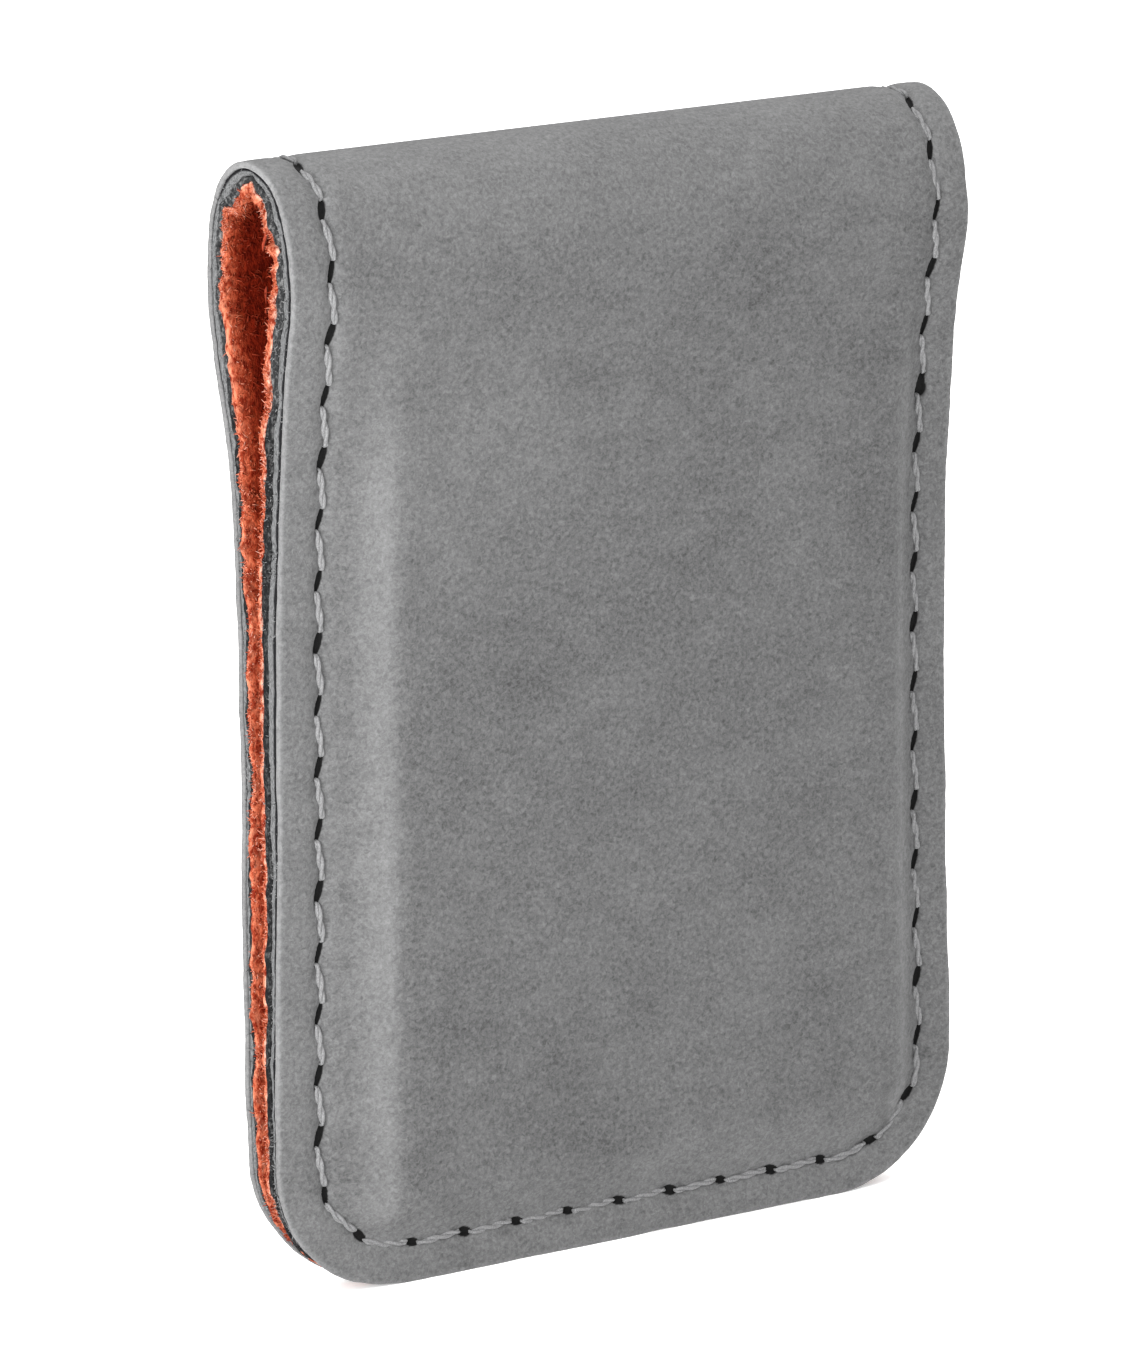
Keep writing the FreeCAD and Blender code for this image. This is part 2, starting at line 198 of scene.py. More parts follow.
def folded(flat):
    """Flat strip points brought to their place on the folded clip."""
    along = HALF_LENGTH - np.abs(flat[:, 1])
    point, normal = np.zeros((len(flat), 2)), np.zeros((len(flat), 2))
    start = 0.0
    for number, segment in enumerate(PROFILE):
        length = length_of(segment)
        lowest = -np.inf if number == 0 else start
        highest = np.inf if number == len(PROFILE) - 1 else start + length
        here = (along >= lowest) & (along < highest)
        point[here], normal[here] = on_segment(segment, along[here] - start)
        start += length
    out, z = (point + flat[:, 2:3] * normal).T
    out = out * (1 - PINCH * smooth((z - LOOP_WIDEST_Z) / PINCH_EASE))
    z = z - FOLD_TILT * flat[:, 0] / (WIDTH / 2) * smooth((along - TILT_START) / TILT_EASE)
    front = flat[:, 1] > 0
    shift = np.where(front, 0.0, np.interp(along, DRIFT_AT, BACK_SHIFT))
    x = flat[:, 0] + drift(flat[:, 0], along) - shift
    return np.column_stack([x, np.where(front, -out, out), z])


def drift(x, along):
    """How far the strip's borders stray sideways."""
    border = np.clip((np.abs(x) - WIDTH / 2 + BORDER) / BORDER, 0, 1.1)
    stray = np.where(x < 0, np.interp(along, DRIFT_AT, LEFT_DRIFT), np.interp(along, DRIFT_AT, RIGHT_DRIFT))
    return border * stray * np.sign(x)


def half_thickness(along):
    """The folded clip's half thickness at distances from a free end, up to the crown."""
    run = np.linspace(0, HALF_LENGTH, 400)
    middle = folded(np.column_stack([0 * run, HALF_LENGTH - run, 0 * run]))
    return np.interp(along, run, np.abs(middle[:, 1]))


# ---- small helpers ----

def smooth(t):
    """An even rise from 0 to 1 that starts and ends gently."""
    t = np.clip(t, 0.0, 1.0)
    return t * t * (3 - 2 * t)


def wander(run, spacing, seed):
    """Smooth random values from -1 to 1 along a run, with a fresh one after each spacing."""
    count, first = 4096, 1000
    values = np.random.default_rng(seed).uniform(-1, 1, count)
    place = np.asarray(run) / spacing + first
    low = np.floor(place).astype(int)
    share = smooth(place - low)
    return values[low % count] * (1 - share) + values[(low + 1) % count] * share


def racetrack(left, right, end, corner, runs):
    """Points and outward directions at distances round a rounded rectangle on the flat strip. It starts at
    the left of the fold and goes down the front leaf first. Also returns the whole way round."""
    side, across = end - corner, right - left - 2 * corner
    bend = math.pi / 2 * corner
    legs = [((left, 0.0), (0, 1), side), ((left + corner, end - corner), math.pi, bend),
            ((left + corner, end), (1, 0), across), ((right - corner, end - corner), math.pi / 2, bend),
            ((right, end - corner), (0, -1), 2 * side), ((right - corner, corner - end), 0.0, bend),
            ((right - corner, -end), (-1, 0), across), ((left + corner, corner - end), -math.pi / 2, bend),
            ((left, corner - end), (0, 1), side)]
    around = sum(leg[2] for leg in legs)
    runs = np.asarray(runs) % around
    point, outward = np.zeros((len(runs), 2)), np.zeros((len(runs), 2))
    start = 0.0
    for origin, heading, length in legs:
        here = (runs >= start) & (runs < start + length)
        run = runs[here] - start
        if isinstance(heading, tuple):
            point[here] = np.array(origin) + run[:, None] * np.array(heading)
            outward[here] = (-heading[1], heading[0])
        else:
            angle = heading - run / corner
            outward[here] = np.column_stack([np.cos(angle), np.sin(angle)])
            point[here] = np.array(origin) + corner * outward[here]
        start += length
    return point, outward, around


def seam_path(runs):
    """The seam's points and outward directions at distances round it, and the whole way round."""
    return racetrack(SEAM_LEFT, SEAM_RIGHT, HALF_LENGTH - SEAM_END, SEAM_CORNER, runs)


SEAM_AROUND = seam_path([0.0])[2]
STITCH_PITCH = SEAM_AROUND / STITCHES


def outline(count):
    """Points along the strip's slightly wavy cut edge, their outward directions and distances along it."""
    _, _, around = racetrack(-WIDTH / 2, WIDTH / 2, HALF_LENGTH, CORNER_RADIUS, [0.0])
    runs = np.arange(count) * around / count
    point, outward, _ = racetrack(-WIDTH / 2, WIDTH / 2, HALF_LENGTH, CORNER_RADIUS, runs)
    return point + WAVER * wander(runs, WAVER_SPACING, 5)[:, None] * outward, outward, runs


def loop_share(s):
    """0 along the pressed leaves and 1 round the open loop."""
    return smooth((HALF_LENGTH - np.abs(s) - LOOP_START) / LOOP_EASE)


def lining_shade(inside, s):
    """How much painted shade the lining and its fibres get: 0 at the cut edge, and 1 deep inside the loop,
    where shade falls.
    """
    return smooth(inside / (1.8 * MM)) * (0.45 + 0.55 * loop_share(s))


def depth_at(depth, s):
    """A layer face's depth, which grows away from the free ends, where the seam pulls the layers together."""
    along = HALF_LENGTH - np.abs(s)
    stations = np.append(LOOSE_AT, HALF_LENGTH)
    front = np.interp(along, stations, FRONT_LOOSENESS + [CROWN_LOOSENESS])
    back = np.interp(along, stations, BACK_LOOSENESS + [CROWN_LOOSENESS])
    ripple = 0.55 * wander(s, 2.6 * MM, 61) + 0.45 * wander(s, 0.7 * MM, 62)
    uneven = UNEVENNESS * smooth(along / END_EASE) * ripple
    loft = 1 + LOOP_LOFT * loop_share(s)
    felt_depth, lining_depth = np.minimum(depth, INTERLINING[1]), np.maximum(depth, INTERLINING[1])
    loose = (COVER[1] + (felt_depth - COVER[1]) * (np.where(s > 0, front, back) + uneven)
             + (lining_depth - INTERLINING[1]) * loft)
    shift = MEETING * np.sign(s) * smooth(along / END_EASE)
    under = INTERLINING[1] - felt_depth + (LINING[1] - lining_depth) * loft
    room = half_thickness(along) + shift - LINING_GAP - under
    return np.where(along < HALF_LENGTH - CROWN_RUN, np.minimum(loose, room), loose)


def new_object(name, points, faces, material):
    """A smooth-shaded mesh in the scene, with its material and material slot."""
    mesh = bpy.data.meshes.new(name)
    mesh.from_pydata(points.tolist(), [], faces)
    mesh.polygons.foreach_set("use_smooth", [True] * len(mesh.polygons))
    mesh.materials.append(material)
    obj = bpy.data.objects.new(name, mesh)
    bpy.context.scene.collection.objects.link(obj)
    return obj


def add_values(obj, name, values):
    """Keeps a number or a vector for every point, for the materials."""
    values = np.asarray(values, dtype=np.float32)
    kind = "FLOAT" if values.ndim == 1 else "FLOAT_VECTOR"
    field = "value" if values.ndim == 1 else "vector"
    obj.data.attributes.new(name, kind, "POINT").data.foreach_set(field, values.ravel())


def fold_up(obj, flat, nodes=()):
    """Keeps a flat piece's flat coordinates in millimetres for the materials, and folds it. It stands for the
    named CAD nodes, if any, which are hidden."""
    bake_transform(obj)
    add_values(obj, "flat", flat / MM)
    obj.data.vertices.foreach_set("co", folded(flat).ravel())
    obj.data.update()
    if nodes:
        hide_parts(*nodes)


def parts_of(name):
    """The three CAD nodes of one layer or thread."""
    return [f"{name}_{region}" for region in ("front", "fold", "back")]


# ---- sheets ----

def fill(ring, inside):
    """Triangles over the inside of a closed ring of points and more points within it."""
    points = np.vstack([ring, inside]) / MM
    result = delaunay_2d_cdt([Vector(p) for p in points], [], [list(range(len(ring)))], 1, 1e-6)
    owner = [origins[0] for origins in result[3]]
    return [[owner[i] for i in face] for face in result[2]]


def grid_inside(spacing, inset):
    """A grid of flat points that keeps clear of the outline by an inset."""
    xs = np.arange(-WIDTH / 2 + inset, WIDTH / 2 - inset, spacing)
    ss = np.arange(-HALF_LENGTH + inset, HALF_LENGTH - inset, spacing)
    points = np.stack(np.meshgrid(xs, ss), -1).reshape(-1, 2)
    return points[edge_distance(points) > inset]


def edge_distance(points, left=-WIDTH / 2, right=WIDTH / 2, end=HALF_LENGTH, corner=CORNER_RADIUS):
    """How far inside a rounded rectangle the points are."""
    middle = np.array([(left + right) / 2, 0.0])
    half = np.array([(right - left) / 2, end])
    past = np.abs(points - middle) - (half - corner)
    return corner - np.linalg.norm(np.maximum(past, 0), axis=1) - np.minimum(past.max(axis=1), 0)


def closed_sheet(rim, top_inside, top_height, bottom_inside, bottom_height):
    """Flat points and faces of a sheet with a rounded rim. rim lists rings of (point, height), from the top
    face's edge round to the bottom face's."""
    count = len(rim[0][0])
    flat = [np.column_stack([point, height]) for point, height in rim]
    rings = len(flat)
    faces = []
    for ring in range(rings - 1):
        a, b = ring * count, (ring + 1) * count
        faces += [[a + i, a + (i + 1) % count, b + (i + 1) % count, b + i] for i in range(count)]
    top_start = rings * count
    flat.append(np.column_stack([top_inside, top_height]))
    bottom_start = top_start + len(top_inside)
    flat.append(np.column_stack([bottom_inside, bottom_height]))
    for ring_start, start, ring, inside, flip in (
            (0, top_start, rim[0][0], top_inside, False),
            ((rings - 1) * count, bottom_start, rim[-1][0], bottom_inside, True)):
        for face in fill(ring, inside):
            face = [ring_start + i if i < count else start + i - count for i in face]
            faces.append(face[::-1] if flip else face)
    return np.vstack(flat), faces


def tuft(points):
    """1 at the frayed tuft on the front leaf's left edge, 0 elsewhere."""
    near_edge = smooth((0.7 * MM - WIDTH / 2 - points[:, 0]) / (0.5 * MM))
    return near_edge * np.exp(-((points[:, 1] - CROWN_RUN) / (0.3 * MM)) ** 2)


def lining_push(points):
    """How far the soft lining pushes out past the other layers: along the back leaf's edges, in lumps round
    the loop, and most at the frayed tuft."""
    s = points[:, 1]
    back = 0.10 * MM * smooth((-s - 19 * MM) / (8 * MM))
    lumps = loop_share(s) * MM * (0.13 * wander(s, 1.2 * MM, 73) + 0.06 * wander(s, 0.3 * MM, 74))
    return back + lumps + 0.30 * MM * tuft(points)


def rounded_rim(count, top, bottom, radius, raggedness, recess, seed, push=None):
    """Rings round a sheet's cut edge. top and bottom give the two faces' heights from flat points."""
    point, outward, runs = outline(count)
    ragged = raggedness * (0.6 * wander(runs, 0.9 * MM, seed) + 0.4 * wander(runs, 0.25 * MM, seed + 1))
    if push:
        ragged = ragged - push(point)
    rings = []
    for face, turns in ((top, (0, 30, 60, 90)), (bottom, (90, 120, 150, 180))):
        for turn in np.radians(turns):
            inset = recess + ragged + radius * (1 - math.sin(turn))
            place = point - inset[:, None] * outward
            curl = radius * (1 - abs(math.cos(turn)))
            rings.append((place, face(place) - curl if face is top else face(place) + curl))
    return rings


# ---- cover ----

def panel_shares(flat):
    """How far up the panel's side bevels (0 to 1), and up its end bevels, each point is."""
    x, along = flat[:, 0], HALF_LENGTH - np.abs(flat[:, 1])
    left = (x - PANEL_LEFT + BEVEL_LEFT) / BEVEL_LEFT
    right = (PANEL_RIGHT + BEVEL_RIGHT - x) / BEVEL_RIGHT
    bottom = (along - PANEL_BOTTOM + BEVEL_BOTTOM) / BEVEL_BOTTOM
    top = smooth((PANEL_TOP + BEVEL_TOP - along) / BEVEL_TOP)
    return np.clip(np.minimum(left, right), 0, 1), np.clip(np.minimum(bottom, top), 0, 1)


def panel_height(flat):
    """The cover's rise over the insert board, with sloping sides and rounded corners."""
    across, upright = panel_shares(flat)
    share = np.minimum(1 - np.hypot(1 - across, 1 - upright), (seam_distance(flat) - 0.4 * MM) / BEVEL_RIGHT)
    share = np.clip(share, 0, 1)
    return PANEL_RAISE * (0.75 * share + 0.25 * smooth(share))


def seam_distance(flat):
    """How far inside the seam the points are."""
    return edge_distance(flat[:, :2], SEAM_LEFT, SEAM_RIGHT, HALF_LENGTH - SEAM_END, SEAM_CORNER)


def each_slot(seed, amount):
    """A factor near 1 for every slot, so that no two are quite alike."""
    return 1 + amount * np.random.default_rng(seed).uniform(-1, 1, STITCHES)


def slots():
    """Every slot's middle and outward direction, and its length factor."""
    point, outward, _ = seam_path(FIRST_STITCH + np.arange(STITCHES) * STITCH_PITCH)
    return point, outward, 1 - END_SLOTS_SHORTER * np.abs(outward[:, 1])


def slot_field(runs, aside):
    """How deep inside the nearest awl slot the points are: 1 in its middle, 0 at its rim, less outside."""
    place = (runs - FIRST_STITCH) / STITCH_PITCH
    number = np.round(place).astype(int) % STITCHES
    nearest = (place - np.round(place)) * STITCH_PITCH
    forward = (nearest * math.cos(SLOT_SLANT) - aside * math.sin(SLOT_SLANT)) / SLOT_SPAN
    across = (nearest * math.sin(SLOT_SLANT) + aside * math.cos(SLOT_SLANT)) / SLOT_HALF_WIDTH
    short = slots()[2]
    long, wide = each_slot(81, 0.12) * short, each_slot(82, 0.25) / np.sqrt(short)
    torn = 1 + TEAR * np.clip(0.4 - forward, 0, 1) * ((number == TORN_SLOT) & (across > 0))
    return 1 - np.hypot(forward / long[number], across / (wide[number] * torn))


def cover_height(flat):
    """The outer face without its seam holes: panel, seam valley, soft edge and slow waviness."""
    inside = edge_distance(flat[:, :2])
    valley = VALLEY_DEPTH * np.exp(-(seam_distance(flat) / VALLEY_REACH) ** 2)
    edge = EDGE_DROP * (1 - smooth(inside / EDGE_REACH))
    wave = WAVE_HEIGHT * wander(flat[:, 1], WAVE_SPACING, 3) * (1 - smooth(inside / WAVE_REACH))
    return panel_height(flat) - valley - edge + wave


def seam_band():
    """Closely spaced points along the seam, with each one's run and distance aside."""
    aside = np.array([0.06, 0.12, 0.19, 0.27, 0.36, 0.5, 0.72, 1.0]) * MM
    offsets = np.concatenate([-aside[::-1], [0.0], aside])
    runs = np.arange(0, SEAM_AROUND, 0.125 * MM)
    point, outward, _ = seam_path(runs)
    points = np.vstack([point + offset * outward for offset in offsets])
    return points, np.tile(runs, len(offsets)), np.repeat(offsets, len(runs))


def cover_top():
    """Points inside the cover's outer face, their heights, and how deep in a slot each one is."""
    band, runs, aside = seam_band()
    field = slot_field(runs, aside)
    pucker = PUCKER_DEPTH * np.exp(-(np.maximum(-field, 0) / PUCKER_REACH) ** 2)
    hole = smooth(field / 0.35)
    band_height = (cover_height(band) - pucker) * (1 - hole) - (COVER[1] - SLOT_FLOOR) * hole
    grid = grid_inside(0.75 * MM, 0.5 * MM)
    grid = grid[np.abs(seam_distance(grid)) > 1.25 * MM]
    point, outward, _ = outline(COVER_RIM)
    border = [point - inset * MM * outward for inset in (0.2, 0.38)]
    heights = np.concatenate([band_height] + [cover_height(part) for part in [grid] + border])
    points = np.vstack([band, grid] + border)
    return points, heights, np.concatenate([hole, np.zeros(len(points) - len(band))])


def cover_underside():
    """Points inside the cover's inner face: a coarse grid, and a line on each side of the slots, which keeps
    their floors thin."""
    seam, away, _ = seam_path(np.arange(0, SEAM_AROUND, 0.5 * MM))
    beside = [seam + aside * MM * away for aside in (-0.36, 0.36)]
    return np.vstack([grid_inside(1.6 * MM, 1.2 * MM)] + beside)


def make_cover(material):
    """The leatherette, with its panels, its seam valley, its slots and a rounded cut edge."""
    def bottom(points):
        return np.full(len(points), -COVER[1])

    rim = rounded_rim(COVER_RIM, cover_height, bottom, radius=0.10 * MM, raggedness=0.035 * MM, recess=0.0,
                      seed=11)
    points, heights, hole = cover_top()
    under = cover_underside()
    flat, faces = closed_sheet(rim, points, heights, under, bottom(under) + panel_height(under))
    obj = new_object("leatherette_cover", flat, faces, material)
    add_values(obj, "hole", np.concatenate([np.zeros(len(rim) * COVER_RIM), hole, np.zeros(len(under))]))
    # The edge values make the cover's cut edge paler: edge wear, and a painted highlight on the rounded edge
    add_values(obj, "edge", 1 - smooth(edge_distance(flat[:, :2]) / (0.3 * MM)))
    # The pale values carry the cover's painted highlights and painted light
    add_values(obj, "pale", paleness(flat))
    fold_up(obj, flat, parts_of("cover"))


def paleness(flat):
    """Where the cover is painted paler: painted highlights on the bevels and the fold's top, painted light on
    the flat margins, and paler patches.
    """
    across, upright = panel_shares(flat)
    x, along = flat[:, 0], HALF_LENGTH - np.abs(flat[:, 1])
    # Painted highlight over the panel's side bevels
    bevel = smooth(across / 0.7) * (1 - smooth((across - 0.84) / 0.16)) * upright
    # Painted light on the flat margins, more on the left than the right, and along the free ends
    margin = np.where(x < 0, LEFT_PALE, RIGHT_PALE) * (1 - smooth(across / 0.3))
    margin = np.maximum(margin, END_PALE * smooth((4.5 * MM - along) / (2 * MM)))
    # Painted highlight at the top of the fold
    crown = CROWN_PALE * smooth((along - 54 * MM) / (11 * MM))
    patch_paleness = sum(pale * np.exp(-((x / MM - middle) / wide) ** 2 - ((along / MM - height) / tall) ** 2)
                 for middle, height, wide, tall, pale in PALE_PATCHES)
    return np.maximum(np.maximum(bevel, margin), crown) + patch_paleness


# ---- inner layers ----

def make_layer(name, depths, material, slot, raggedness, recess, seed, push=None):
    """A layer inside the cover, between two depths. push says how far it pushes out past the others; a layer
    with a push also spills up at the tuft."""
    def top(points):
        spill = 0.9 * MM * tuft(points) if push else 0.0
        return spill - depth_at(depths[0], points[:, 1])

    def bottom(points):
        return -depth_at(depths[1], points[:, 1])

    radius = 0.3 * (depths[1] - depths[0])
    rim = rounded_rim(LAYER_RIM, top, bottom, radius, raggedness, recess, seed, push)
    inside = grid_inside(1.3 * MM, 0.9 * MM)
    flat, faces = closed_sheet(rim, inside, top(inside), inside, bottom(inside))
    obj = new_object(name, flat, faces, material)
    upper, lower = top(flat), bottom(flat)
    add_values(obj, "through", np.clip((upper - flat[:, 2]) / (upper - lower), 0, 1))
    inside = edge_distance(flat[:, :2])
    add_values(obj, "edge", 1 - smooth(inside / (0.6 * MM)))
    # Painted shade for the lining: growing away from the cut edge, most inside the loop
    add_values(obj, "deep", lining_shade(inside, flat[:, 1]))
    add_values(obj, "loop", loop_share(flat[:, 1]))
    fold_up(obj, flat, parts_of(slot))


# ---- threads ----

def slot_ends(direction):
    """Where the thread leaves (1) or enters (-1) every slot: its place across and along the flat strip."""
    point, outward, length = slots()
    heading = np.column_stack([outward[:, 1], -outward[:, 0]])
    slanted = math.cos(SLOT_SLANT) * heading - math.sin(SLOT_SLANT) * outward
    return point + direction * THREAD_REACH * length[:, None] * slanted


def stitch_line(start, end, middle, t):
    """A stitch's line over the flat strip, bowed so that it follows the seam."""
    share = np.clip(t, 0, 1)[:, None]
    bow = middle - (start + end) / 2
    return start + share * (end - start) + 4 * share * (1 - share) * bow


def strand_tube(line, lateral, radius, first):
    """The points and faces of a closed tube round a line. Its faces count its points from first."""
    tangent = np.gradient(line, axis=0)
    tangent /= np.linalg.norm(tangent, axis=1)[:, None]
    aside = np.tile([lateral[0], lateral[1], 0.0], (len(line), 1))
    up = np.cross(tangent, aside)
    angles = 2 * math.pi * np.arange(STRAND_SIDES) / STRAND_SIDES
    points = [line + radius[:, None] * (math.cos(angle) * aside + math.sin(angle) * up) for angle in angles]
    starts = [first + side * len(line) for side in range(STRAND_SIDES)]
    faces = []
    for a, b in zip(starts, starts[1:] + starts[:1]):
        faces += [[a + k, b + k, b + k + 1, a + k + 1] for k in range(len(line) - 1)]
    faces.append(starts[::-1])
    faces.append([begin + len(line) - 1 for begin in starts])
    return np.vstack(points), faces


def make_threads(name, surface, sign, sink, material, nodes, strands, seed):
    """Lockstitches on one face: each leaves a slot, lies sunk along the face and dives into the next slot.
    The left seam's are the least sunk. surface gives the face's height from the distance along the strip,
    and sign is 1 for the outer face and -1 for the inner one."""
    t = np.linspace(-DIVE_SHARE, 1 + DIVE_SHARE, STRAND_STATIONS)
    dive = np.maximum(np.maximum(-t, t - 1), 0) / DIVE_SHARE
    arch = np.clip(np.sin(np.pi * np.clip(t, 0, 1)), 0, 1) ** 0.45
    swell = 0.58 + 0.42 * arch
    offset = STRAND_OFFSET * swell if strands > 1 else 0.0 * swell
    middles = seam_path(FIRST_STITCH + (np.arange(STITCHES) + 0.5) * STITCH_PITCH)[0]
    rng = np.random.default_rng(seed)
    flats, faces, count = [], [], 0
    for start, end, middle in zip(slot_ends(1), np.roll(slot_ends(-1), -1, axis=0), middles):
        line = stitch_line(start, end, middle, t)
        length = np.linalg.norm(end - start)
        heading = (end - start) / length
        lateral = np.array([heading[1], -heading[0]])
        deeper = 1 + 0.8 * smooth((middle[0] - SEAM_LEFT - 1 * MM) / (3 * MM))
        depth = sink * deeper * rng.uniform(0.7, 1.3) * arch + END_DEPTH * (1 - arch) + DIVE_DEPTH * dive
        height = surface(line[:, 1]) - sign * depth
        first_turn = rng.uniform(0, 2 * math.pi)
        for strand in range(strands):
            turn = first_turn + 2 * math.pi * (strand / strands + t * length / TWIST_PITCH)
            twisted = np.column_stack([line + (offset * np.cos(turn))[:, None] * lateral,
                                       height + 0.75 * offset * np.sin(turn)])
            points, tube = strand_tube(twisted, lateral, STRAND_RADIUS * swell, count)
            flats.append(points)
            faces += tube
            count += len(points)
    flat = np.vstack(flats)
    obj = new_object(name, flat, faces, material)
    fold_up(obj, flat, nodes)


# ---- fibres ----

def make_fibres(name, count, material, roots, directions, lengths, width, seed):
    """Short tapering fibres, each a three-sided curved spike. roots and directions are flat."""
    rng = np.random.default_rng(seed)
    curl = rng.normal(0, 0.45, (count, 3))
    aside = np.cross(directions, rng.normal(0, 1, (count, 3)))
    aside /= np.linalg.norm(aside, axis=1)[:, None]
    other = np.cross(directions, aside)
    flats, steps = [], 2
    for step in range(steps + 1):
        t = step / steps
        centre = roots + lengths[:, None] * t * (directions + curl * t)
        taper = width * (1 - 0.8 * t)
        for corner in range(3):
            angle = 2 * math.pi * corner / 3
            flats.append(centre + taper * (math.cos(angle) * aside + math.sin(angle) * other))
    faces = []
    for step in range(steps):
        for corner in range(3):
            a, b = (step * 3 + corner) * count, (step * 3 + (corner + 1) % 3) * count
            c, d = a + 3 * count, b + 3 * count
            faces += [[a + k, b + k, d + k, c + k] for k in range(count)]
    last = steps * 3 * count
    faces += [[last + k, last + count + k, last + 2 * count + k] for k in range(count)]
    faces += [[k, 2 * count + k, count + k] for k in range(count)]
    flat = np.vstack(flats)
    obj = new_object(name, flat, faces, material)
    add_values(obj, "tip", np.repeat(np.arange(steps + 1) / steps, 3 * count))
    add_values(obj, "shade", np.tile(rng.uniform(0, 1, count), 3 * (steps + 1)))
    # Painted shade for the fibres, as for the lining
    deep = lining_shade(WIDTH / 2 - np.abs(roots[:, 0]), roots[:, 1])
    add_values(obj, "deep", np.tile(deep, 3 * (steps + 1)))
    fold_up(obj, flat)


def edge_fringe(name, count, depths, material, slot, mean_length, lean_in, seed):
    """Fibres that stick out of a layer's cut edge, left and right, with some longer tufts. lean_in is how
    much they lean towards the inner face."""
    rng = np.random.default_rng(seed)
    side = rng.choice([-1.0, 1.0], count)
    s = rng.uniform(-HALF_LENGTH + CORNER_RADIUS * 0.4, HALF_LENGTH - CORNER_RADIUS * 0.4, count)
    end = np.maximum(np.abs(s) - (HALF_LENGTH - CORNER_RADIUS), 0)
    half = WIDTH / 2 - CORNER_RADIUS + np.sqrt(CORNER_RADIUS**2 - end**2)
    depth = depth_at(rng.uniform(depths[0], depths[1], count), s)
    if slot == "lining":
        half = half + lining_push(np.column_stack([side * half, s]))
    roots = np.column_stack([side * (half - FRINGE_ROOT), s, -depth])
    lean = rng.normal(0, 1, (count, 3)) * [0.3, 0.6, 0.5]
    lean[:, 0] = side * (0.35 + np.abs(lean[:, 0]))
    lean[:, 2] -= lean_in
    bunch = smooth(wander(s, 0.8 * MM, seed + 1) * 2.0 - 0.9)
    lean[:, 1] += 1.2 * bunch * wander(s, 2.5 * MM, seed + 2)
    lean /= np.linalg.norm(lean, axis=1)[:, None]
    reach = rng.gamma(4.0, mean_length / 4, count) * (1 + 0.8 * bunch) + 0.05 * MM
    lengths = np.minimum(reach, FRINGE_LONGEST)
    make_fibres(name, count, material, roots, lean, lengths, width=0.045 * MM, seed=seed + 3)


def inner_nap(material):
    """Nap on the lining's inner face near its edges, which shows in the loop and between the leaves."""
    rng = np.random.default_rng(8)
    side = rng.choice([-1.0, 1.0], NAP_COUNT, p=[0.65, 0.35])
    s = rng.uniform(-HALF_LENGTH + 6 * MM, HALF_LENGTH - 6 * MM, NAP_COUNT)
    widest = WIDTH / 2 - NAP_ROOT
    x = np.clip(side * (widest - rng.gamma(1.2, 2.0, NAP_COUNT) * MM), -widest, widest)
    roots = np.column_stack([x, s, -depth_at(LINING[1] - 0.03 * MM, s)])
    lean = rng.normal(0, 0.6, (NAP_COUNT, 3))
    lean[:, 2] = -1.0
    lean /= np.linalg.norm(lean, axis=1)[:, None]
    clump = 1 + 0.7 * wander(s, 0.7 * MM, 71) * wander(x, 0.6 * MM, 72)
    lengths = rng.uniform(0.08, 0.14, NAP_COUNT) * MM * (1 + loop_share(s)) * clump
    make_fibres("lining_nap", NAP_COUNT, material, roots, lean, lengths, width=0.065 * MM, seed=9)


# ---- materials ----

